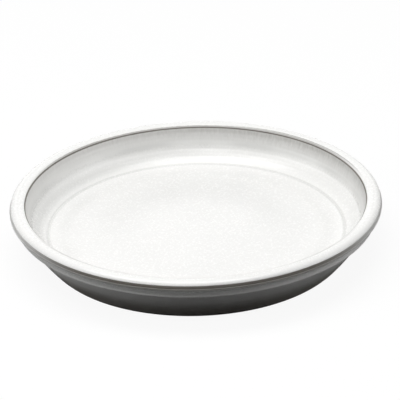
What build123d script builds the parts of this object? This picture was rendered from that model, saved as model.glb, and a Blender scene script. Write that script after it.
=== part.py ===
from build123d import *
import math
import os

# A round stoneware plant saucer, thrown on a wheel and glazed white.
# Z is up through its middle, and its foot stands on the plane z = 0.
# All sizes are millimetres, and are those of the finished, glazed surface.

# Overall size and the glaze coat
overall_diameter = 210.0
overall_height = 30.8
glaze_thickness = 0.5

# Rim: its crown falls to a sharp inner edge, and a rounding leads to its outermost line
rim_width = 8.9
rim_rounding = 4.2
rim_inner_drop = 1.5

# Well: the hollow inner wall with its finger rings, the cove, the fine floor line and the dished floor
wall_slope_degrees = 17.5
wall_hollow = 0.35
ring_count = 3
ring_depth = 0.05
cove_width = 7.8
cove_height = 6.3
floor_line_width = 0.9
floor_line_depth = 0.2
floor_dish_width = 10.9
floor_dish_rise = 0.8
floor_thickness = 6.6

# Collar: the band under the rim, set in from it, with a ledge below
collar_drop = 10.1
collar_inset = 2.9
collar_edge_rounding = 0.5
ledge_width = 2.3
collar_hollow = 0.3
lip_turn_share = 0.24

# Outer wall and foot ring
ledge_corner_width = 0.8
ledge_corner_height = 0.9
outer_wall_run = 12.8
outer_wall_bulge = 0.5
foot_edge_rounding = 1.7
foot_ring_width = 6.0
foot_cove_width = 4.0
foot_recess_depth = 3.5

# Bare clay: the breaks in the glaze at the rim's two edges, and the wiped foot
inner_break_width = 0.7
outer_break_width = 2.2
outer_break_turn_degrees = 72.0
bare_foot_height = 1.2

# Every cutting shape runs this far past what it cuts
overrun = 2.0

# Heights and radii that follow from the sizes above
rim_radius = overall_diameter / 2
rim_inner_radius = rim_radius - rim_width
rim_inner_height = overall_height - rim_inner_drop
rim_outer_height = overall_height - rim_rounding
floor_height = foot_recess_depth + floor_thickness
floor_line_height = floor_height + floor_dish_rise
cove_top_height = floor_line_height + cove_height
inner_wall_height = rim_inner_height - cove_top_height
inner_wall_run = inner_wall_height * math.tan(math.radians(wall_slope_degrees))
cove_foot_radius = rim_inner_radius - inner_wall_run - cove_width
collar_radius = rim_radius - collar_inset
ledge_height = overall_height - collar_drop
outer_wall_top_radius = collar_radius - ledge_width - ledge_corner_width
foot_radius = outer_wall_top_radius - outer_wall_run - foot_edge_rounding
foot_inner_radius = foot_radius - foot_ring_width


def finger_rings(wall):
    """Shallow hollows and swellings in turn, along the wall from its top down."""
    count = 2 * ring_count
    places = [wall @ (i / count) for i in range(count + 1)]
    return [
        SagittaArc(places[i], places[i + 1], ring_depth if i % 2 else -ring_depth)
        for i in range(count)
    ]


def well_outline():
    """The surface inside the saucer, from its middle out and up to the rim's inner edge."""
    line_outer = Vector(cove_foot_radius, floor_line_height)
    line_inner = line_outer - Vector(floor_line_width, 0)
    floor_edge = Vector(line_inner.X - floor_dish_width, floor_height)
    wall_top = Vector(rim_inner_radius, rim_inner_height)
    wall_bottom = wall_top - Vector(inner_wall_run, inner_wall_height)

    floor = Line((-overrun, floor_height), floor_edge)
    dish = TangentArc(floor_edge, line_inner, tangent=floor % 1)
    line = SagittaArc(line_inner, line_outer, -floor_line_depth)
    wall = SagittaArc(wall_top, wall_bottom, wall_hollow)
    cove = TangentArc(wall_bottom, line_outer, tangent=wall % 1)
    return [floor, dish, line, cove, *finger_rings(wall)]


def rim_outline():
    """The broad rim, from its inner edge over the crown to its outermost line."""
    crown_point = Vector(rim_radius - rim_rounding, overall_height)
    inner = TangentArc(crown_point, (rim_inner_radius, rim_inner_height), tangent=(-1, 0))
    outer = TangentArc(crown_point, (rim_radius, rim_outer_height), tangent=(1, 0))
    return [inner, outer]


def outside_outline():
    """The collar, its ledge and the outer wall, from the rim's outermost line to the ground."""
    lip = Vector(rim_radius, rim_outer_height)
    collar_foot = Vector(collar_radius, ledge_height + collar_edge_rounding)
    turn = lip + (collar_foot - lip) * lip_turn_share - Vector(collar_hollow, 0)
    under_lip = TangentArc(lip, turn, tangent=(0, -1))
    collar = TangentArc(turn, collar_foot, tangent=under_lip % 1)
    edge_end = Vector(collar_radius - collar_edge_rounding, ledge_height)
    edge = TangentArc(collar_foot, edge_end, tangent=(0, -1))
    ledge_end = Vector(collar_radius - ledge_width, ledge_height)
    ledge = Line(edge_end, ledge_end)
    wall_top = Vector(outer_wall_top_radius, ledge_height - ledge_corner_height)
    corner = TangentArc(ledge_end, wall_top, tangent=(-1, 0))
    wall_foot = Vector(foot_radius + foot_edge_rounding, foot_edge_rounding)
    wall = SagittaArc(wall_top, wall_foot, outer_wall_bulge)
    foot_edge = TangentArc(wall_foot, (foot_radius, 0), tangent=wall % 1)
    return [under_lip, collar, edge, ledge, corner, wall, foot_edge]


def underside_outline():
    """The foot ring's flat, and the recess inside it, from the ground in to the middle."""
    recess_edge = Vector(foot_inner_radius - foot_cove_width, foot_recess_depth)
    flat = Line((foot_radius, 0), (foot_inner_radius, 0))
    cove = TangentArc(recess_edge, flat @ 1, tangent=(1, 0))
    recess = Line(recess_edge, (-overrun, foot_recess_depth))
    closing = Line((-overrun, foot_recess_depth), (-overrun, floor_height))
    return [flat, cove, recess, closing]


def finished_section():
    """The glazed saucer's section, carried a little past the middle."""
    return make_face([*well_outline(), *rim_outline(), *outside_outline(), *underside_outline()])


def break_strip(point, direction_degrees, width):
    """A strip across the glaze at a point of its surface, along the direction into the clay."""
    strip = Rectangle(2 * (glaze_thickness + overrun), width)
    return Pos(*point) * Rot(0, 0, direction_degrees) * strip


def bare_zones():
    """Where the clay reaches the surface: the rim's two edges and the foot."""
    crown_slope = 2 * math.atan2(rim_inner_drop, rim_width - rim_rounding)
    edge_middle_degrees = (math.degrees(crown_slope) - 90 - wall_slope_degrees) / 2
    inner_edge = break_strip((rim_inner_radius, rim_inner_height), edge_middle_degrees, inner_break_width)

    rounding_middle = Vector(rim_radius - rim_rounding, rim_outer_height)
    outer_break_degrees = 90 - outer_break_turn_degrees
    outer_break_point = rounding_middle + Vector(rim_rounding, 0).rotate(Axis.Z, outer_break_degrees)
    outer_edge = break_strip(outer_break_point, outer_break_degrees, outer_break_width)

    foot_low = Vector(foot_inner_radius - foot_cove_width, -overrun)
    foot_size = Vector(rim_radius, bare_foot_height) - foot_low
    foot = Pos(*foot_low) * Rectangle(foot_size.X, foot_size.Y, align=(Align.MIN, Align.MIN))
    return inner_edge + outer_edge + foot


def coat_at(coats, point):
    """The piece of the glaze that lies at a point of the finished surface."""
    return coats.sort_by_distance(point)[0]


def turned(section):
    """A solid made by turning a section once round the middle."""
    return revolve(Plane.XZ * section, Axis.Z)


def main():
    """Write one file for the clay and one for each coat of glaze."""
    half = Rectangle(2 * rim_radius, 4 * overall_height, align=(Align.MIN, Align.CENTER))
    finished = finished_section()
    clay = offset(finished, -glaze_thickness) & half
    finished = finished & half
    bare = bare_zones()
    coats = (finished - clay - bare).faces()
    sections = {
        "stoneware_body": clay + (finished & bare),
        "inside_glaze": coat_at(coats, (0, floor_height)),
        "rim_glaze": coat_at(coats, (rim_radius - rim_rounding, overall_height)),
        "outside_glaze": coat_at(coats, (collar_radius, ledge_height)),
        "underside_glaze": coat_at(coats, (0, foot_recess_depth)),
    }
    os.makedirs("parts", exist_ok=True)
    for name, section in sections.items():
        export_step(turned(section), f"parts/{name}.step")


main()
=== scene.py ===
import math

import bpy
from mathutils import Matrix, Vector


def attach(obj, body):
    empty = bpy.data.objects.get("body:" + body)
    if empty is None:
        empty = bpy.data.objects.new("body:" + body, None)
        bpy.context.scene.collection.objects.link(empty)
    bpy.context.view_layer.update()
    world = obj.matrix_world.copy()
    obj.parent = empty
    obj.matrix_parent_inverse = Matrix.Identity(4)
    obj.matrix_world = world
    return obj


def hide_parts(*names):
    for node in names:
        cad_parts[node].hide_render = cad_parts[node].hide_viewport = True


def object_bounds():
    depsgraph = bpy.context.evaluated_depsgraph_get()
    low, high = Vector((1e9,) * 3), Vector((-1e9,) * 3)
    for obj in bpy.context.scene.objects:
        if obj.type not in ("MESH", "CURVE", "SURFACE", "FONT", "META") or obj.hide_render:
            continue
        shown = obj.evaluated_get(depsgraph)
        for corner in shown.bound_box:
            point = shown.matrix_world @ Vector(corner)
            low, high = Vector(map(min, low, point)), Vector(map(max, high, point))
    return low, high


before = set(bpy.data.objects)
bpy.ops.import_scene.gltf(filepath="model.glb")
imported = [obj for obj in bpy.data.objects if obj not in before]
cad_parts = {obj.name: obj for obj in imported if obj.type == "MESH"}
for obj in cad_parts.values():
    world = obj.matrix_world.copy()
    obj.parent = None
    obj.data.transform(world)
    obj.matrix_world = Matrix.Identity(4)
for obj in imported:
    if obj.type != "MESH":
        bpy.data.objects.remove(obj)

bl_info = {
    "name": "Thrown Plant Saucer",
    "version": (1, 0, 0),
    "blender": (4, 5, 0),
    "location": "3D View > Sidebar > Saucer",
    "description": "Throws a white-glazed stoneware plant saucer and lights it on a pale table",
    "category": "Object",
}

CAD_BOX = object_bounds()
WIDEST = CAD_BOX[1].x
HIGHEST = CAD_BOX[1].z
TURN = 2 * math.pi
DOWN = -math.pi / 2

# Directions from the saucer's middle, in degrees from the right
RIGHT, RIGHT_BACK, BACK, LEFT_BACK = 0, 45, 90, 135

# Steps round the wheel, and the distances under which points are joined
SEGMENTS = 288
LINE_WELD = 1e-7
PIECE_WELD = 2e-6

# The photograph's viewpoint, and how white the table looks in the gloss
CAMERA_PLACE = (0.0025, -1.3198, 0.6781)
SENSOR_WIDTH = 36
MIRRORED_TABLE = 0.9


# Sizes and finishes

def length(name, description, default):
    """A size in metres, shown in the scene's own unit."""
    return bpy.props.FloatProperty(
        name=name, description=description, default=default, min=0.0, precision=5,
        subtype="DISTANCE", unit="LENGTH",
    )


def angle(name, description, degrees):
    """An angle, held in radians and shown in degrees."""
    return bpy.props.FloatProperty(
        name=name, description=description, default=math.radians(degrees), subtype="ANGLE", unit="ROTATION",
    )


def tint(name, description, red, green, blue):
    """A surface colour."""
    return bpy.props.FloatVectorProperty(
        name=name, description=description, default=(red, green, blue), size=3, min=0.0, max=1.0,
        subtype="COLOR",
    )


def share(name, description, default):
    """A part of the whole."""
    return bpy.props.FloatProperty(
        name=name, description=description, default=default, min=0.0, max=1.0, subtype="FACTOR",
    )


def watts(name, description, default):
    """The power of a lamp."""
    return bpy.props.FloatProperty(
        name=name, description=description, default=default, min=0.0, unit="POWER",
    )


class SaucerSizes(bpy.types.PropertyGroup):
    """The finished, glazed saucer, from its rim down to its foot."""

    diameter: length("Diameter", "Width over the rim", 2 * WIDEST)
    height: length("Height", "From the ground to the rim's crown", HIGHEST)
    glaze: length("Glaze", "Thickness of the glaze coat", 0.0005)
    rim_width: length("Rim width", "From the rim's inner edge to its outermost line", 0.0089)
    rim_rounding: length("Rim rounding", "Radius of the rim's outer shoulder", 0.0042)
    rim_drop: length("Rim drop", "How far the crown falls to the inner edge", 0.0015)
    wall_slope: angle("Wall slope", "Lean of the inner wall from upright", 17.5)
    ring_count: bpy.props.IntProperty(
        name="Finger rings", description="Throwing rings up the inner wall", default=3, min=1, max=8,
    )
    ring_depth: length("Ring depth", "Depth of each finger ring", 0.00005)
    wall_hollow: length("Wall hollow", "How far the inner wall bows out from straight", 0.00035)
    cove_width: length("Cove width", "From the wall's lower end in to the floor line", 0.0078)
    cove_height: length("Cove height", "From the floor line up to the wall's lower end", 0.0063)
    cove_hollow: length("Cove hollow", "How far the cove bows out from straight", 0.00075)
    line_width: length("Floor line width", "Width of the fine groove round the floor", 0.0009)
    line_depth: length("Floor line depth", "Depth of the fine groove round the floor", 0.0002)
    dish_width: length("Dish width", "From the floor line in to the flat floor", 0.0109)
    dish_rise: length("Dish rise", "From the flat floor up to the floor line", 0.0008)
    floor: length("Floor thickness", "From the foot's recess to the flat floor", 0.0066)
    collar_drop: length("Collar drop", "From the crown down to the ledge", 0.0101)
    collar_inset: length("Collar inset", "How far the collar is set in from the rim", 0.0029)
    collar_edge: length("Collar edge", "Rounding at the foot of the collar", 0.0005)
    ledge_width: length("Ledge width", "From the collar in to the outer wall", 0.0023)
    collar_hollow: length("Collar hollow", "How far the collar is cut in below the lip", 0.0003)
    lip_turn: share("Lip turn", "Where the curve under the lip changes over, as a share of the collar", 0.24)
    corner_width: length("Corner width", "Width of the hollow under the ledge", 0.0008)
    corner_height: length("Corner height", "Height of the hollow under the ledge", 0.0009)
    wall_run: length("Outer wall run", "How far the outer wall runs in from its top to its foot", 0.0128)
    wall_bulge: length("Outer wall bulge", "Swelling of the outer wall", 0.0005)
    foot_rounding: length("Foot rounding", "Rounding at the foot's outer edge", 0.0017)
    foot_ring: length("Foot ring width", "Width of the flat that stands on the ground", 0.006)
    foot_cove: length("Foot cove width", "Width of the hollow inside the foot ring", 0.004)
    recess: length("Recess depth", "Depth of the recess inside the foot ring", 0.0035)
    inner_break: length("Inner break", "Width of bare clay at the rim's inner edge", 0.0007)
    outer_break: length("Outer break", "Width of bare clay on the rim's shoulder", 0.0016)
    outer_break_turn: angle("Outer break turn", "Where the shoulder's break lies, from the crown", 70.0)
    bare_foot: length("Bare foot", "Height of the wiped clay above the ground", 0.0012)


class SaucerFinish(bpy.types.PropertyGroup):
    """The look of the glaze and of the bare clay. The pooled, thin and clay colours also paint shade on the
    glaze.
    """

    glaze_colour: tint("Glaze colour", "The white glaze where it is thick", 0.885, 0.883, 0.868)
    # Pooled glaze colour, also used to paint shade in the well, the groove and the cove
    glaze_pooled_and_shade: tint("Pooled glaze", "The glaze where it gathers in a groove", 0.72, 0.72, 0.705)
    # Thin glaze colour, also used to paint shade at the top of the inner wall, under the lip and low on the
    # outer wall
    glaze_thin_and_shade: tint("Thin glaze", "The glaze where the clay shows through it", 0.29, 0.28, 0.262)
    glaze_roughness: share("Glaze roughness", "Roughness of the satin glaze", 0.27)
    clay_and_foot_shade_colour: tint("Clay colour", "The bare fired clay", 0.15, 0.138, 0.122)
    clay_dark: tint("Dark clay", "Iron specks and hollows in the bare clay", 0.075, 0.064, 0.053)


class SaucerStage(bpy.types.PropertyGroup):
    """The pale table, the soft light and the camera."""

    overhead_power: watts("Overhead softbox", "Power of the broad lamp overhead", 13.5)
    front_power: watts("Front softbox", "Power of the small high lamp in front", 1.8)
    left_power: watts("Left softbox", "Power of the low lamp on the left", 5.9)
    right_power: watts("Right softbox", "Power of the low lamp on the right", 5.6)
    back_power: watts("Back softbox", "Power of the low lamp behind", 1.5)
    table_bounce: share("Table bounce", "How much light the table throws back at the saucer", 0.07)
    table_glow: share("Table glow", "How much of the table's white doesn't depend on the lamps", 0.92)
    camera_elevation: angle("Camera elevation", "How steeply the camera looks down", 26.216)
    camera_roll: angle("Camera roll", "Tilt of the picture", 1.58)
    camera_lens: bpy.props.FloatProperty(
        name="Camera lens", description="Focal length on a 36 mm sensor", default=234.66, unit="CAMERA",
    )


# Drawing the section: points are (radius, height), in metres

def inner_radius(s):
    """Radius of the rim's sharp inner edge."""
    return s.diameter / 2 - s.rim_width


def foot_radius(s):
    """Outer radius of the flat that stands on the ground."""
    return s.diameter / 2 - s.collar_inset - s.ledge_width - s.corner_width - s.wall_run - s.foot_rounding


def floor_line_height(s):
    """Height of the fine groove round the floor."""
    return s.recess + s.floor + s.dish_rise


def inner_wall_ends(s):
    """The upper and the lower end of the leaning inner wall."""
    drop = s.height - s.rim_drop - floor_line_height(s) - s.cove_height
    top = Vector((inner_radius(s), s.height - s.rim_drop))
    return top, top - Vector((drop * math.tan(s.wall_slope), drop))


def arc(start, end, heading, steps=12):
    """Points of the arc that leaves start on a heading and ends at end, and its heading there."""
    straight = 1e-7
    chord = end - start
    half_turn = math.remainder(math.atan2(chord.y, chord.x) - heading, TURN)
    points = []
    for i in range(steps + 1):
        part = i / steps
        reach = math.sin(half_turn * part) / math.sin(half_turn) if abs(half_turn) > straight else part
        way = heading + half_turn * part
        points.append(start + chord.length * reach * Vector((math.cos(way), math.sin(way))))
    return points, heading + 2 * half_turn


def bowed(start, end, bow, steps=12):
    """Points of an arc that stands a bow to the left of the straight line, and its last heading."""
    chord = end - start
    return arc(start, end, math.atan2(chord.y, chord.x) + 2 * math.atan2(2 * bow, chord.length), steps)


def well_section(s):
    """The floor, the dished edge with its groove, the cove and the ringed wall."""
    floor_height = s.recess + s.floor
    wall_top, wall_bottom = inner_wall_ends(s)
    line_outer = Vector((wall_bottom.x - s.cove_width, floor_line_height(s)))
    line_inner = line_outer - Vector((s.line_width, 0))
    floor_edge = Vector((line_inner.x - s.dish_width, floor_height))

    points = [Vector((0, floor_height)), floor_edge]
    points += arc(floor_edge, line_inner, 0)[0]
    points += bowed(line_inner, line_outer, -s.line_depth)[0]
    points += bowed(wall_bottom, line_outer, s.cove_hollow, steps=30)[0][::-1]
    count = 2 * s.ring_count
    places = bowed(wall_top, wall_bottom, s.wall_hollow, count)[0][::-1]
    for i in range(count):
        points += bowed(places[i], places[i + 1], s.ring_depth if i % 2 else -s.ring_depth)[0]
    return points


def rim_section(s):
    """The broad rim, from its inner edge over the crown to its outermost line."""
    inner_edge = Vector((inner_radius(s), s.height - s.rim_drop))
    crown = Vector((s.diameter / 2 - s.rim_rounding, s.height))
    lip = Vector((s.diameter / 2, s.height - s.rim_rounding))
    return arc(crown, inner_edge, math.pi)[0][::-1] + arc(crown, lip, 0, steps=24)[0]


def outside_section(s):
    """The hollow under the lip, the collar, its ledge, the outer wall and the foot's edge."""
    lip = Vector((s.diameter / 2, s.height - s.rim_rounding))
    collar_radius = s.diameter / 2 - s.collar_inset
    ledge_height = s.height - s.collar_drop
    collar_foot = Vector((collar_radius, ledge_height + s.collar_edge))
    turn = lip.lerp(collar_foot, s.lip_turn) - Vector((s.collar_hollow, 0))
    ledge_end = Vector((collar_radius - s.ledge_width, ledge_height))
    wall_top = ledge_end - Vector((s.corner_width, s.corner_height))
    foot = wall_top.x - s.wall_run - s.foot_rounding
    wall_foot = Vector((foot + s.foot_rounding, s.foot_rounding))

    points, way = arc(lip, turn, DOWN)
    points += arc(turn, collar_foot, way, steps=24)[0]
    points += arc(collar_foot, Vector((collar_radius - s.collar_edge, ledge_height)), DOWN, steps=6)[0]
    points += arc(ledge_end, wall_top, math.pi, steps=6)[0]
    wall, way = bowed(wall_top, wall_foot, s.wall_bulge, steps=30)
    return points + wall + arc(wall_foot, Vector((foot, 0)), way)[0]


def underside_section(s):
    """The flat of the foot ring, and the recess inside it as far as the middle."""
    flat_end = Vector((foot_radius(s) - s.foot_ring, 0))
    recess_edge = flat_end + Vector((-s.foot_cove, s.recess))
    return [flat_end] + arc(recess_edge, flat_end, 0)[0][::-1] + [Vector((0, s.recess))]


def fine_points(points, step):
    """The same line with points an even step apart."""
    fine = [points[0]]
    for a, b in zip(points, points[1:]):
        count = math.ceil((b - a).length / step)
        fine += [a.lerp(b, (i + 1) / count) for i in range(count)]
    return fine


def melted(points, reach):
    """The line with its corners softened, as glaze softens them. The two ends stay where they are."""
    span = 3 * reach
    weights = [math.exp(-0.5 * (i / reach) ** 2) for i in range(-span, span + 1)]
    total = sum(weights)
    soft = list(points)
    for i in range(span, len(points) - span):
        window = points[i - span:i + span + 1]
        soft[i] = sum((p * w for p, w in zip(window, weights)), Vector((0, 0))) / total
    return soft


def thinned(points, widest, bend, closest=2e-5):
    """Fewer points: one wherever the line has turned by bend, or run on for widest."""
    same = 1e-9
    kept = [points[0]]
    way = None
    for before, point in zip(points, points[1:]):
        step = point - before
        if step.length < same:
            continue
        now = math.atan2(step.y, step.x)
        way = now if way is None else way
        if abs(math.remainder(now - way, TURN)) > bend or (point - kept[-1]).length > widest:
            kept.append(before if (before - kept[-1]).length > closest else point)
            way = now
    if (kept[-1] - points[-1]).length > PIECE_WELD / 2:
        kept.append(points[-1])
    return kept


def outward(points, i):
    """The direction out of the clay at a point of the line."""
    way = (points[min(i + 2, len(points) - 1)] - points[max(i - 2, 0)]).normalized()
    return Vector((-way.y, way.x))


def sunk(points, depths):
    """The line set in by a depth at each point, without the loops that tight corners would give."""
    line = []
    for i, (point, depth) in enumerate(zip(points, depths)):
        place = point - outward(points, i) * depth
        place.x = max(place.x, 0.0)
        way = points[min(i + 1, len(points) - 1)] - points[max(i - 1, 0)]
        if not line or (place - line[-1]).dot(way) > 0:
            line.append(place)
    return line


class Section:
    """The finished saucer's section as one fine line, and where each coat of glaze lies on it."""

    STEP = 0.00005  # from one point of the line to the next
    MELT = 3  # how many points a corner is softened over
    COAT_START = 0.0001  # how far inside a coat's edge the clay starts to sink under it
    COAT_RUN = 0.0005  # how much further in the clay lies at its full depth
    BARE_DEPTH = 0.00012  # how far bare clay at the rim lies below the finished line
    FOOT_DEPTH = 0.00006  # how far bare clay at the foot lies below it
    FOOT_RISE = 0.0008  # height where the foot's clay lies that deep. On the ground it isn't sunk
    FOOT_TOP = 0.01  # the foot's clay all lies lower than this
    EDGE_REACH = 0.00045  # how far in from its edge a coat is rounded
    EDGE_DIP = 0.0003  # how far a coat sinks at its edge
    LAP = 0.00001  # how far a coat goes into the clay

    def __init__(self, s):
        well, rim, outside = well_section(s), rim_section(s), outside_section(s)
        line = fine_points(well + rim + outside + underside_section(s), self.STEP)
        self.line = melted(line, self.MELT)
        self.glaze = s.glaze
        inner_edge = self.nearest(rim[0])
        shoulder = Vector((s.diameter / 2, s.height)) - Vector((1, 1)) * s.rim_rounding
        turn = s.outer_break_turn
        outer_edge = self.nearest(shoulder + Vector((math.sin(turn), math.cos(turn))) * s.rim_rounding)
        inner_half = round(s.inner_break / 2 / self.STEP)
        outer_half = round(s.outer_break / 2 / self.STEP)
        foot = self.nearest(outside[-1])
        glaze_line = next(i for i in range(foot, 0, -1) if self.line[i].y > s.bare_foot)
        recess_line = next(i for i in range(foot, len(self.line)) if self.line[i].y > s.bare_foot)
        self.coats = {
            "glaze_inside": (0, inner_edge - inner_half),
            "glaze_rim": (inner_edge + inner_half, outer_edge - outer_half),
            "glaze_outside": (outer_edge + outer_half, glaze_line),
            "glaze_underside": (recess_line, len(self.line) - 1),
        }

    def nearest(self, place):
        """The number of the point nearest a place."""
        return min(range(len(self.line)), key=lambda i: (self.line[i] - place).length_squared)

    def edge_distance(self, i):
        """How far inside a coat a point lies, or how far outside all coats as a negative number."""
        far = -1.0
        for first, last in self.coats.values():
            low = i - first if first else len(self.line)
            high = last - i if last < len(self.line) - 1 else len(self.line)
            far = max(far, min(low, high) * self.STEP)
        return far

    def clay_depth(self, i):
        """How far the clay lies under the finished line: a coat's depth, or nearly nothing where bare."""
        under = min(max((self.edge_distance(i) - self.COAT_START) / self.COAT_RUN, 0.0), 1.0)
        under = under * under * (3 - 2 * under)
        height = self.line[i].y
        if height > self.FOOT_TOP:
            bare = self.BARE_DEPTH
        else:
            bare = self.FOOT_DEPTH * min(height / self.FOOT_RISE, 1.0)
        return bare + (self.glaze - bare) * under

    def coat_dip(self, distance):
        """How far the coat's surface sinks towards its rounded edge."""
        part = min(max(distance / self.EDGE_REACH, 0.0), 1.0)
        return self.EDGE_DIP * (1 - math.sqrt(1 - (1 - part) ** 2))

    def clay_outline(self):
        """The clay's own section, from the middle of the floor round to the middle of the recess."""
        depths = [self.clay_depth(i) for i in range(len(self.line))]
        return thinned(sunk(self.line, depths), widest=0.003, bend=math.radians(5))

    def coat_outline(self, name):
        """One coat's section: out along its surface and back along the clay."""
        first, last = self.coats[name]
        part = self.line[first:last + 1]
        dips = [self.coat_dip(self.edge_distance(first + i)) for i in range(len(part))]
        depths = [self.glaze + self.LAP] * len(part)
        top = thinned(sunk(part, dips), widest=0.0016, bend=math.radians(4))
        back = thinned(sunk(part, depths), widest=0.004, bend=math.radians(10))
        return top + back[::-1]


# Making a piece on the wheel

def thrown(name, outline):
    """A closed piece turned about Z: a point is drawn along the outline and swept once round."""
    bpy.ops.object.select_all(action="DESELECT")
    bpy.ops.mesh.primitive_plane_add(size=0.01, location=(0, 0, 0))
    piece = bpy.context.object
    piece.name = name
    piece.data.name = name
    bpy.ops.object.mode_set(mode="EDIT")
    bpy.ops.mesh.select_all(action="SELECT")
    bpy.ops.mesh.merge(type="CENTER")
    at = Vector((0, 0))
    for number, point in enumerate(outline):
        move = (point.x - at.x, 0, point.y - at.y)
        if number:
            bpy.ops.mesh.extrude_region_move(TRANSFORM_OT_translate={"value": move})
        else:
            bpy.ops.transform.translate(value=move)
        at = point
    if outline[0].x > 0:
        bpy.ops.mesh.select_all(action="SELECT")
        bpy.ops.mesh.remove_doubles(threshold=LINE_WELD)
        close_line(piece)
    bpy.ops.object.mode_set(mode="OBJECT")
    wheel = piece.modifiers.new("Wheel", "SCREW")
    wheel.angle = TURN
    wheel.steps = wheel.render_steps = SEGMENTS
    wheel.use_smooth_shade = True
    bpy.ops.object.modifier_apply(modifier=wheel.name)
    bpy.ops.object.mode_set(mode="EDIT")
    bpy.ops.mesh.select_all(action="SELECT")
    bpy.ops.mesh.remove_doubles(threshold=PIECE_WELD)
    bpy.ops.mesh.normals_make_consistent(inside=False)
    bpy.ops.object.mode_set(mode="OBJECT")
    bpy.ops.object.shade_smooth()
    check_closed(piece)
    return piece


def close_line(piece):
    """Joins the two loose ends of the line."""
    bpy.ops.mesh.select_all(action="DESELECT")
    bpy.ops.object.mode_set(mode="OBJECT")
    uses = [0] * len(piece.data.vertices)
    for edge in piece.data.edges:
        for v in edge.vertices:
            uses[v] += 1
    for v in piece.data.vertices:
        v.select = uses[v.index] == 1
    bpy.ops.object.mode_set(mode="EDIT")
    bpy.ops.mesh.edge_face_add()


def check_closed(piece):
    """Stops the script if a seam or a pole is open."""
    sides = {}
    for face in piece.data.polygons:
        for key in face.edge_keys:
            sides[key] = sides.get(key, 0) + 1
    if any(count != 2 for count in sides.values()):
        raise RuntimeError(f"{piece.name} isn't closed")


# Node trees

def feed(tree, value, socket):
    """Links a socket, or sets a plain value on it."""
    if isinstance(value, bpy.types.NodeSocket):
        tree.links.new(value, socket)
    else:
        socket.default_value = value


def math_node(tree, operation, *inputs, clamp=False):
    """A Math node fed by sockets or plain numbers. Its result is returned."""
    made = tree.nodes.new("ShaderNodeMath")
    made.operation = operation
    made.use_clamp = clamp
    for socket, value in zip(made.inputs, inputs):
        feed(tree, value, socket)
    return made.outputs[0]


def smooth_step(tree, value, low, high, start=0.0, end=1.0):
    """A value carried smoothly from start to end as it goes from low to high."""
    made = tree.nodes.new("ShaderNodeMapRange")
    made.interpolation_type = "SMOOTHSTEP"
    for number, put in enumerate((value, low, high, start, end)):
        feed(tree, put, made.inputs[number])
    return made.outputs[0]


def noise(tree, position, size, detail=3.0, roughness=0.5):
    """Soft noise whose blotches are about a size across, in metres."""
    made = tree.nodes.new("ShaderNodeTexNoise")
    feed(tree, position, made.inputs["Vector"])
    made.inputs["Scale"].default_value = 1 / size
    made.inputs["Detail"].default_value = detail
    made.inputs["Roughness"].default_value = roughness
    return made.outputs["Fac"]


def polar(tree, position):
    """The distance from the saucer's middle line, the height above the ground, and the angle round it."""
    split = tree.nodes.new("ShaderNodeSeparateXYZ")
    feed(tree, position, split.inputs[0])
    x, y, height = split.outputs
    squares = math_node(tree, "ADD", math_node(tree, "MULTIPLY", x, x), math_node(tree, "MULTIPLY", y, y))
    return math_node(tree, "SQRT", squares), height, math_node(tree, "ARCTAN2", y, x)


def towards(tree, turned, degrees):
    """How nearly a point lies in one direction: 1 there, 0 at a right angle to it and -1 opposite."""
    return math_node(tree, "COSINE", math_node(tree, "SUBTRACT", turned, math.radians(degrees)))


def mixed(tree, part, first, second):
    """A colour between two, by a share."""
    made = tree.nodes.new("ShaderNodeMix")
    made.data_type = "RGBA"
    # The sockets for colours come after those for numbers and vectors
    colours, result = made.inputs[6:8], made.outputs[2]
    feed(tree, part, made.inputs[0])
    for value, socket in zip((first, second), colours):
        feed(tree, value if isinstance(value, bpy.types.NodeSocket) else (*value, 1.0), socket)
    return result


def new_group(name, inputs, outputs):
    """An empty shader node group with named sockets."""
    group = bpy.data.node_groups.new(name, "ShaderNodeTree")
    for label, kind, default in inputs:
        socket = group.interface.new_socket(label, in_out="INPUT", socket_type=kind)
        if default is not None:
            socket.default_value = default
    for label, kind in outputs:
        group.interface.new_socket(label, in_out="OUTPUT", socket_type=kind)
    return group, group.nodes.new("NodeGroupInput"), group.nodes.new("NodeGroupOutput")


def wheel_marks_group():
    """Fine spiral ridges left by the potter's fingers, wavering a little as they go round."""
    group, given, result = new_group(
        "Wheel marks",
        [("Position", "NodeSocketVector", None), ("Spacing", "NodeSocketFloat", 0.003),
         ("Waver", "NodeSocketFloat", 0.5)],
        [("Height", "NodeSocketFloat")],
    )
    position = given.outputs["Position"]
    radius, height, turned = polar(group, position)
    along = math_node(group, "DIVIDE", math_node(group, "ADD", radius, height), given.outputs["Spacing"])
    spiral = math_node(group, "ADD", along, math_node(group, "DIVIDE", turned, TURN))
    waver = noise(group, position, size=0.03, detail=2.0)
    waver = math_node(group, "MULTIPLY", waver, given.outputs["Waver"])
    phase = math_node(group, "MULTIPLY", math_node(group, "ADD", spiral, waver), TURN)
    ridge = math_node(group, "MULTIPLY_ADD", math_node(group, "SINE", phase), 0.5, 0.5)
    strength = noise(group, position, size=0.02, detail=2.0)
    feed(group, math_node(group, "MULTIPLY", ridge, strength), result.inputs["Height"])
    return group


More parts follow.
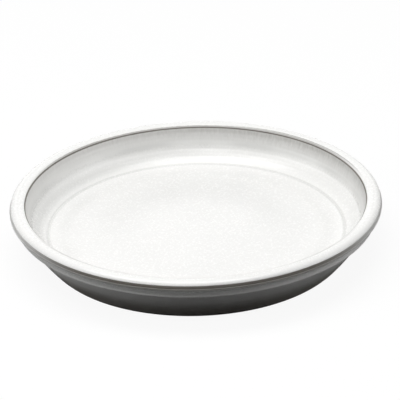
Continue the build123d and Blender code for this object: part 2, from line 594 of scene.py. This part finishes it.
def ragged_line_group():
    """A mask that is full along one circle round the saucer and fades away from it raggedly."""
    group, given, result = new_group(
        "Ragged line",
        [("Position", "NodeSocketVector", None), ("Radius", "NodeSocketFloat", 0.1),
         ("Height", "NodeSocketFloat", 0.03), ("Width", "NodeSocketFloat", 0.0005),
         ("Ragged", "NodeSocketFloat", 0.3)],
        [("Mask", "NodeSocketFloat")],
    )
    position = given.outputs["Position"]
    radius, height, _ = polar(group, position)
    across = math_node(group, "SUBTRACT", radius, given.outputs["Radius"])
    above = math_node(group, "SUBTRACT", height, given.outputs["Height"])
    squares = (math_node(group, "MULTIPLY", part, part) for part in (across, above))
    away = math_node(group, "SQRT", math_node(group, "ADD", *squares))
    rag = math_node(group, "SUBTRACT", noise(group, position, size=0.0015, detail=4.0), 0.5)
    rag = math_node(group, "MULTIPLY_ADD", rag, given.outputs["Ragged"], 1.0)
    width = math_node(group, "MULTIPLY", given.outputs["Width"], rag)
    full = math_node(group, "MULTIPLY", width, 0.3)
    feed(group, smooth_step(group, away, full, width, start=1.0, end=0.0), result.inputs["Mask"])
    return group


def specks_group():
    """Scattered small round specks."""
    group, given, result = new_group(
        "Specks",
        [("Position", "NodeSocketVector", None), ("Spacing", "NodeSocketFloat", 0.006),
         ("Size", "NodeSocketFloat", 0.06)],
        [("Mask", "NodeSocketFloat")],
    )
    cells = group.nodes.new("ShaderNodeTexVoronoi")
    feed(group, given.outputs["Position"], cells.inputs["Vector"])
    feed(group, math_node(group, "DIVIDE", 1.0, given.outputs["Spacing"]), cells.inputs["Scale"])
    split = group.nodes.new("ShaderNodeSeparateColor")
    feed(group, cells.outputs["Color"], split.inputs[0])
    size = math_node(group, "MULTIPLY", split.outputs[0], given.outputs["Size"])
    full = math_node(group, "MULTIPLY", size, 0.4)
    feed(group, smooth_step(group, cells.outputs["Distance"], size, full), result.inputs["Mask"])
    return group


def placed(tree, group, position, **values):
    """A group put into a material, with its position and its own values."""
    made = tree.nodes.new("ShaderNodeGroup")
    made.node_tree = group
    feed(tree, position, made.inputs["Position"])
    for key, value in values.items():
        feed(tree, value, made.inputs[key.capitalize()])
    return made.outputs[0]


def new_material(name):
    """A node material with its Principled BSDF and the position on the piece."""
    material = bpy.data.materials.new(name)
    material.use_nodes = True
    tree = material.node_tree
    tree.nodes.clear()
    shader = tree.nodes.new("ShaderNodeBsdfPrincipled")
    output = tree.nodes.new("ShaderNodeOutputMaterial")
    tree.links.new(shader.outputs[0], output.inputs[0])
    position = tree.nodes.new("ShaderNodeTexCoord").outputs["Object"]
    return material, tree, shader, position


def bumped(tree, shader, height):
    """Sends a height, in metres, to the shader's normal."""
    made = tree.nodes.new("ShaderNodeBump")
    made.inputs["Strength"].default_value = 1.0
    made.inputs["Distance"].default_value = 1.0
    feed(tree, height, made.inputs["Height"])
    feed(tree, made.outputs[0], shader.inputs["Normal"])


def drawn_up(tree, position, part):
    """The position with its height cut to a part, so that noise on it runs in streaks down a wall."""
    made = tree.nodes.new("ShaderNodeVectorMath")
    made.operation = "MULTIPLY"
    feed(tree, position, made.inputs[0])
    made.inputs[1].default_value = (1.0, 1.0, part)
    return made.outputs[0]


def ring_band(tree, radius, middle, reach):
    """A soft ring round the saucer's middle line."""
    away = math_node(tree, "ABSOLUTE", math_node(tree, "SUBTRACT", radius, middle))
    return smooth_step(tree, away, 0.0, reach, 1.0, 0.0)


def all_of(tree, *parts):
    """The product of several masks or shares."""
    result = parts[0]
    for part in parts[1:]:
        result = math_node(tree, "MULTIPLY", result, part)
    return result


def most_of(tree, *parts):
    """The largest of several masks."""
    result = parts[0]
    for part in parts[1:]:
        result = math_node(tree, "MAXIMUM", result, part)
    return result


# Materials

def pooled_glaze_and_shade(tree, s, groups, position, radius, turned):
    """Where the glaze lies thicker and greyer: in the floor's groove, and in soft rings up to the crown. Some
    of it is painted shade: the groove and a ring on the wall are darkened beyond their pooled glaze, and the
    floor is greyer towards the back and the cove on the left behind.
    """
    line_radius = inner_wall_ends(s)[1].x - s.cove_width
    crown_radius = s.diameter / 2 - s.rim_rounding
    # pooled glaze in the floor's groove, darkened further as painted shade of the crease
    groove = placed(tree, groups["line"], position, radius=line_radius - s.line_width / 2,
                    height=floor_line_height(s) - s.line_depth, width=0.0017, ragged=0.5)
    patchy = smooth_step(tree, noise(tree, position, size=0.04, detail=2.0), 0.3, 0.65)
    back = smooth_step(tree, towards(tree, turned, BACK), -0.3, 0.7, start=0.2)
    left_back = smooth_step(tree, towards(tree, turned, LEFT_BACK), 0.5, 0.95, start=0.35)
    rings = (
        # A ring's middle, its reach, its share of the pooled colour, and where round the saucer it lies
        # painted shade: the floor greyer towards the back, where it gets less light
        (line_radius - 0.036, 0.022, 0.35, back),
        (line_radius - 0.0095, 0.0065, 0.3, patchy),
        # painted shade: the cove greyer on the left behind, where less light reaches it
        (line_radius + 0.0045, 0.0045, 0.7, left_back),
        # pooled glaze in a throwing ring, deepened as painted shade of the ring
        (inner_radius(s) - 0.0026, 0.0012, 0.85, patchy),
        (crown_radius - 0.0004, 0.0012, 0.3, 1.0),
    )
    masks = [
        all_of(tree, ring_band(tree, radius, middle, reach), most, where)
        for middle, reach, most, where in rings
    ]
    return most_of(tree, all_of(tree, groove, 0.9), *masks)


def thin_glaze_and_shade_on_wall(tree, s, streaks, radius, height, turned):
    """Thin glaze at the top of the inner wall, where it has run down in streaks, most of all on the right.
    Its darkening of the wall's upper part is also painted shade.
    """
    inner, edge_height = inner_radius(s), s.height - s.rim_drop
    inside = smooth_step(tree, radius, inner, inner + 0.0003, start=1.0, end=0.0)
    # painted shade as well as thin glaze: the upper part of the inner wall darker
    high = smooth_step(tree, height, edge_height - 0.012, edge_height + 0.0015)
    right = smooth_step(tree, towards(tree, turned, RIGHT), -1.0, 1.0, start=0.55, end=1.5)
    streaked = smooth_step(tree, streaks, 0.25, 0.75, start=0.34, end=0.56)
    return all_of(tree, high, inside, right, streaked)


def thin_glaze_and_shade_on_rim(tree, s, groups, position, radius, height, turned):
    """Thin glaze along the rim: a line at each edge, ragged bands behind, and a faint one in front. The line
    at the lip is also painted shade, darkest in front.
    """
    inner, edge_height = inner_radius(s), s.height - s.rim_drop
    back = towards(tree, turned, BACK)
    right_back = smooth_step(tree, towards(tree, turned, RIGHT_BACK), 0.8, 0.97)
    high = smooth_step(tree, height, edge_height - 0.0004, edge_height)
    rag = math_node(tree, "MULTIPLY", noise(tree, position, size=0.002), 0.0007)
    ragged = math_node(tree, "ADD", radius, rag)

    edge = placed(tree, groups["line"], position, radius=inner, height=edge_height, width=0.001, ragged=0.7)
    # thin glaze at the shoulder's break, with painted shade: darkest in front, where the lip is in shade
    lip = placed(tree, groups["line"], position, radius=s.diameter / 2,
                 height=s.height - s.rim_rounding + 0.0006, width=0.0015, ragged=0.4)
    lip = all_of(tree, lip, smooth_step(tree, back, -0.85, -0.3, start=1.0, end=0.15))
    band = smooth_step(tree, ragged, inner + 0.0014, inner + 0.0019, start=1.0, end=0.0)
    band = all_of(tree, band, high, smooth_step(tree, back, 0.1, 0.75), 0.8)
    second = all_of(tree, ring_band(tree, ragged, inner + 0.002, 0.0005), high, 0.9, right_back)
    near = smooth_step(tree, ragged, inner + 0.002, inner + 0.0038, start=1.0, end=0.0)
    near = all_of(tree, near, high, smooth_step(tree, back, -0.75, -0.3, start=0.45, end=0.0))
    return most_of(tree, edge, lip, band, second, near)


def thin_glaze_and_shade_on_outside(tree, s, groups, streaks, position, radius, height):
    """Thin glaze low on the outer wall, and the mask of where the clay's colour is laid near the foot. Both
    are partly painted shade, darker towards the ground.
    """
    foot = foot_radius(s)
    lean = 0.8  # a little more than the outer wall widens for its height
    outside = math_node(tree, "MULTIPLY_ADD", height, -lean, radius)
    outside = smooth_step(tree, outside, foot - 0.0025, foot - 0.0015)
    # thin glaze and painted shade: darker down the outer wall towards the ground
    low = smooth_step(tree, height, 0.02, 0.004)
    low = all_of(tree, low, outside, smooth_step(tree, streaks, 0.2, 0.7, start=0.85))
    line = placed(tree, groups["line"], position, radius=foot + s.foot_rounding, height=s.bare_foot,
                  width=0.0016, ragged=0.9)
    # clay colour laid far above the wiped foot: painted shade, darker towards the ground
    foot_clay_and_shade = all_of(tree, outside, smooth_step(tree, height, 0.014, 0.003))
    return most_of(tree, low, line), foot_clay_and_shade


def glaze_material(s, finish, groups):
    """The satin white glaze: faint clouds, throwing rings, pooled grooves, and thin where it has run off. It
    also carries painted shade: greyer in the well, darker at the top of the inner wall, under the lip in
    front and low on the outer wall.
    """
    material, tree, shader, position = new_material("White glaze")
    radius, height, turned = polar(tree, position)
    streaks = noise(tree, drawn_up(tree, position, 0.25), size=0.0014, detail=5.0, roughness=0.7)
    # masks of thin glaze and of painted shade low on the outer wall
    outside, foot_clay_and_shade = thin_glaze_and_shade_on_outside(tree, s, groups, streaks, position, radius, height)
    thin_glaze_and_shade = most_of(
        tree,
        thin_glaze_and_shade_on_wall(tree, s, streaks, radius, height, turned),
        thin_glaze_and_shade_on_rim(tree, s, groups, position, radius, height, turned),
        outside,
    )

    cloud = noise(tree, position, size=0.018, detail=4.0, roughness=0.55)
    cloud = smooth_step(tree, cloud, 0.35, 0.75, end=0.12)
    fine = noise(tree, position, size=0.0012, detail=4.0, roughness=0.65)
    mottle = smooth_step(tree, fine, 0.45, 0.7, end=0.015)
    # painted shade: the whole well inside the rim's edge made greyer than the rim
    well = smooth_step(tree, radius, inner_radius(s), inner_radius(s) + 0.001, start=0.2, end=0.0)
    grey_and_shade = pooled_glaze_and_shade(tree, s, groups, position, radius, turned)
    for part in (cloud, mottle, well):
        grey_and_shade = math_node(tree, "ADD", grey_and_shade, part, clamp=True)
    specks = placed(tree, groups["specks"], position, spacing=0.009, size=0.04)
    colour = mixed(tree, grey_and_shade, finish.glaze_colour, finish.glaze_pooled_and_shade)
    # thin glaze, and painted shade where its masks stand in for shade
    colour = mixed(tree, thin_glaze_and_shade, colour, finish.glaze_thin_and_shade)
    # bare clay at the foot, and painted shade up the lower outer wall
    colour = mixed(tree, foot_clay_and_shade, colour, finish.clay_and_foot_shade_colour)
    colour = mixed(tree, all_of(tree, specks, 0.3), colour, finish.glaze_thin_and_shade)
    feed(tree, colour, shader.inputs["Base Color"])

    spread = 0.06
    gloss = math_node(tree, "MULTIPLY_ADD", fine, spread, finish.glaze_roughness - spread / 2)
    gloss = math_node(tree, "MULTIPLY_ADD", thin_glaze_and_shade, 0.25, gloss)
    feed(tree, gloss, shader.inputs["Roughness"])

    marks = placed(tree, groups["marks"], position, spacing=0.0032, waver=0.8)
    walls = smooth_step(tree, radius, s.diameter / 2 - 0.022, s.diameter / 2 - 0.016)
    relief = 0.0
    for effect, rise in (
        (all_of(tree, marks, walls), 0.00004),
        (noise(tree, position, size=0.008), 0.00003),
        (fine, 0.0000015),
        (specks, -0.00003),
    ):
        relief = math_node(tree, "MULTIPLY_ADD", effect, rise, relief)
    bumped(tree, shader, relief)
    return material


def clay_material(s, finish, groups):
    """Bare stoneware: warm grey-brown, gritty and dry, with the marks of the trimming tool."""
    material, tree, shader, position = new_material("Stoneware")
    radius, _, turned = polar(tree, position)
    cloud = noise(tree, position, size=0.008, detail=5.0, roughness=0.6)
    cloud = smooth_step(tree, cloud, 0.35, 0.75, end=0.45)
    grit = noise(tree, position, size=0.0006, detail=4.0, roughness=0.7)
    specks = placed(tree, groups["specks"], position, spacing=0.0022, size=0.16)
    film = smooth_step(tree, towards(tree, turned, BACK), -0.85, -0.35, end=0.85)
    film = all_of(tree, film, smooth_step(tree, radius, s.diameter / 2 - 0.003, s.diameter / 2 - 0.002))
    colour = mixed(tree, cloud, finish.clay_and_foot_shade_colour, finish.clay_dark)
    colour = mixed(tree, all_of(tree, specks, 0.7), colour, finish.clay_dark)
    colour = mixed(tree, film, colour, finish.glaze_pooled_and_shade)
    feed(tree, colour, shader.inputs["Base Color"])
    feed(tree, math_node(tree, "MULTIPLY_ADD", grit, 0.2, 0.7), shader.inputs["Roughness"])

    marks = placed(tree, groups["marks"], position, spacing=0.0009, waver=0.4)
    relief = math_node(tree, "MULTIPLY", marks, 0.00003)
    relief = math_node(tree, "MULTIPLY_ADD", grit, 0.00004, relief)
    bumped(tree, shader, relief)
    return material


def finishes(context):
    """The glaze and the clay, made once and shared by the pieces."""
    made = {m.name: m for m in bpy.data.materials if m.name in ("White glaze", "Stoneware")}
    if len(made) < 2:
        groups = {"marks": wheel_marks_group(), "line": ragged_line_group(), "specks": specks_group()}
        finish = context.scene.saucer_finish
        made = {
            "White glaze": glaze_material(context.scene.saucer_sizes, finish, groups),
            "Stoneware": clay_material(context.scene.saucer_sizes, finish, groups),
        }
    return made


def finish_piece(piece, material, node):
    """Gives a piece its material and its place in the frame."""
    piece.data.materials.clear()
    piece.data.materials.append(material)
    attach(piece, "root")
    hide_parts(node)


# Table, lamps and camera

def lay_table(stage):
    """A wide pale table that shows white to the camera and keeps the saucer's shadow."""
    bpy.ops.object.select_all(action="DESELECT")
    bpy.ops.mesh.primitive_plane_add(size=12, location=(0, 0, 0))
    table = bpy.context.object
    table.name = "table"
    material = bpy.data.materials.new("Pale table")
    material.use_nodes = True
    tree = material.node_tree
    tree.nodes.clear()
    output = tree.nodes.new("ShaderNodeOutputMaterial")
    rays = tree.nodes.new("ShaderNodeLightPath")
    mirrored = most_of(tree, rays.outputs["Is Glossy Ray"], rays.outputs["Is Transmission Ray"])
    seen = rays.outputs["Is Camera Ray"]
    bounce = stage.table_bounce
    white = math_node(tree, "MULTIPLY_ADD", mirrored, MIRRORED_TABLE - bounce, bounce)
    white = math_node(tree, "MULTIPLY_ADD", seen, 1.0 - stage.table_glow - bounce, white)
    shade = tree.nodes.new("ShaderNodeCombineColor")
    for socket in shade.inputs:
        feed(tree, white, socket)
    matt = tree.nodes.new("ShaderNodeBsdfDiffuse")
    feed(tree, shade.outputs[0], matt.inputs[0])
    glow = tree.nodes.new("ShaderNodeEmission")
    feed(tree, all_of(tree, seen, stage.table_glow), glow.inputs["Strength"])
    both = tree.nodes.new("ShaderNodeAddShader")
    feed(tree, matt.outputs[0], both.inputs[0])
    feed(tree, glow.outputs[0], both.inputs[1])
    feed(tree, both.outputs[0], output.inputs[0])
    table.data.materials.append(material)


def softbox(name, place, size, power):
    """A soft rectangular lamp at a place, turned towards the saucer."""
    bpy.ops.object.light_add(type="AREA", location=place)
    lamp = bpy.context.object
    lamp.name = name
    lamp.data.shape = "RECTANGLE"
    lamp.data.size, lamp.data.size_y = size
    lamp.data.energy = power
    lamp.rotation_euler = (Vector((0, 0, 0)) - Vector(place)).to_track_quat("-Z", "Y").to_euler()


def light_room(scene, stage):
    """Softboxes overhead and all round. The room shows white to the camera and in the gloss."""
    softbox("softbox_overhead", (-0.15, 0, 1.2), (0.6, 1.3), stage.overhead_power)
    softbox("softbox_front", (-0.2, -0.72, 1.08), (0.4, 0.32), stage.front_power)
    softbox("softbox_left", (-1.38, -0.22, 0.65), (1, 1), stage.left_power)
    softbox("softbox_right", (1.38, -0.22, 0.65), (1, 1), stage.right_power)
    softbox("softbox_back", (0, 1.4, 0.65), (1, 1), stage.back_power)
    world = bpy.data.worlds.new("Pale room")
    world.use_nodes = True
    tree = world.node_tree
    tree.nodes.clear()
    output = tree.nodes.new("ShaderNodeOutputWorld")
    background = tree.nodes.new("ShaderNodeBackground")
    rays = tree.nodes.new("ShaderNodeLightPath")
    kinds = ("Is Camera Ray", "Is Glossy Ray", "Is Transmission Ray")
    feed(tree, most_of(tree, *(rays.outputs[kind] for kind in kinds)), background.inputs["Strength"])
    background.inputs["Color"].default_value = (1, 1, 1, 1)
    feed(tree, background.outputs[0], output.inputs[0])
    scene.world = world


def place_camera(scene, stage):
    """The camera at the photograph's height and angle."""
    bpy.ops.object.camera_add(location=CAMERA_PLACE)
    camera = bpy.context.object
    camera.name = "camera"
    camera.data.lens = stage.camera_lens
    camera.data.sensor_width = SENSOR_WIDTH
    camera.data.clip_start, camera.data.clip_end = 0.05, 50
    tilt = Matrix.Rotation(math.pi / 2 - stage.camera_elevation, 4, "X")
    camera.rotation_euler = (tilt @ Matrix.Rotation(-stage.camera_roll, 4, "Z")).to_euler()
    scene.camera = camera
    scene.view_settings.view_transform = "Standard"


# Operators

class SAUCER_OT_throw_clay(bpy.types.Operator):
    """Throw the clay body, from its floor over the rim to the trimmed foot"""

    bl_idname = "saucer.throw_clay"
    bl_label = "Throw Clay Body"
    bl_options = {"REGISTER", "UNDO"}

    def execute(self, context):
        section = Section(context.scene.saucer_sizes)
        piece = thrown("thrown_clay", section.clay_outline())
        finish_piece(piece, finishes(context)["Stoneware"], "stoneware_body")
        return {"FINISHED"}


class SAUCER_OT_pour_glaze(bpy.types.Operator):
    """Lay the four coats of white glaze over the clay"""

    bl_idname = "saucer.pour_glaze"
    bl_label = "Pour Glaze Coats"
    bl_options = {"REGISTER", "UNDO"}

    def execute(self, context):
        section = Section(context.scene.saucer_sizes)
        nodes = {
            "glaze_inside": "inside_glaze",
            "glaze_rim": "rim_glaze",
            "glaze_outside": "outside_glaze",
            "glaze_underside": "underside_glaze",
        }
        for name, node in nodes.items():
            piece = thrown(name, section.coat_outline(name))
            finish_piece(piece, finishes(context)["White glaze"], node)
        return {"FINISHED"}


class SAUCER_OT_set_stage(bpy.types.Operator):
    """Set out the pale table, the soft lamps and the camera"""

    bl_idname = "saucer.set_stage"
    bl_label = "Set Stage"
    bl_options = {"REGISTER", "UNDO"}

    def execute(self, context):
        stage = context.scene.saucer_stage
        lay_table(stage)
        light_room(context.scene, stage)
        place_camera(context.scene, stage)
        return {"FINISHED"}


class SAUCER_PT_panel(bpy.types.Panel):
    """Lists the saucer's steps and sizes"""

    bl_idname = "SAUCER_PT_panel"
    bl_label = "Plant Saucer"
    bl_space_type = "VIEW_3D"
    bl_region_type = "UI"
    bl_category = "Saucer"

    def draw(self, context):
        layout = self.layout
        for operator in OPERATORS:
            layout.operator(operator.bl_idname)
        for group in (context.scene.saucer_sizes, context.scene.saucer_finish, context.scene.saucer_stage):
            box = layout.box()
            for key in group.bl_rna.properties.keys():
                if key not in ("name", "rna_type"):
                    box.prop(group, key)


OPERATORS = (SAUCER_OT_throw_clay, SAUCER_OT_pour_glaze, SAUCER_OT_set_stage)
CLASSES = (SaucerSizes, SaucerFinish, SaucerStage, *OPERATORS, SAUCER_PT_panel)


def register():
    """Adds the classes and the scene's settings."""
    for made in CLASSES:
        bpy.utils.register_class(made)
    bpy.types.Scene.saucer_sizes = bpy.props.PointerProperty(type=SaucerSizes)
    bpy.types.Scene.saucer_finish = bpy.props.PointerProperty(type=SaucerFinish)
    bpy.types.Scene.saucer_stage = bpy.props.PointerProperty(type=SaucerStage)


def unregister():
    """Takes the scene's settings and the classes out again."""
    del bpy.types.Scene.saucer_sizes
    del bpy.types.Scene.saucer_finish
    del bpy.types.Scene.saucer_stage
    for made in reversed(CLASSES):
        bpy.utils.unregister_class(made)


def main():
    """Registers the classes and makes the pieces and the stage."""
    register()
    bpy.ops.saucer.throw_clay()
    bpy.ops.saucer.pour_glaze()
    bpy.ops.saucer.set_stage()


if __name__ == "__main__":
    main()
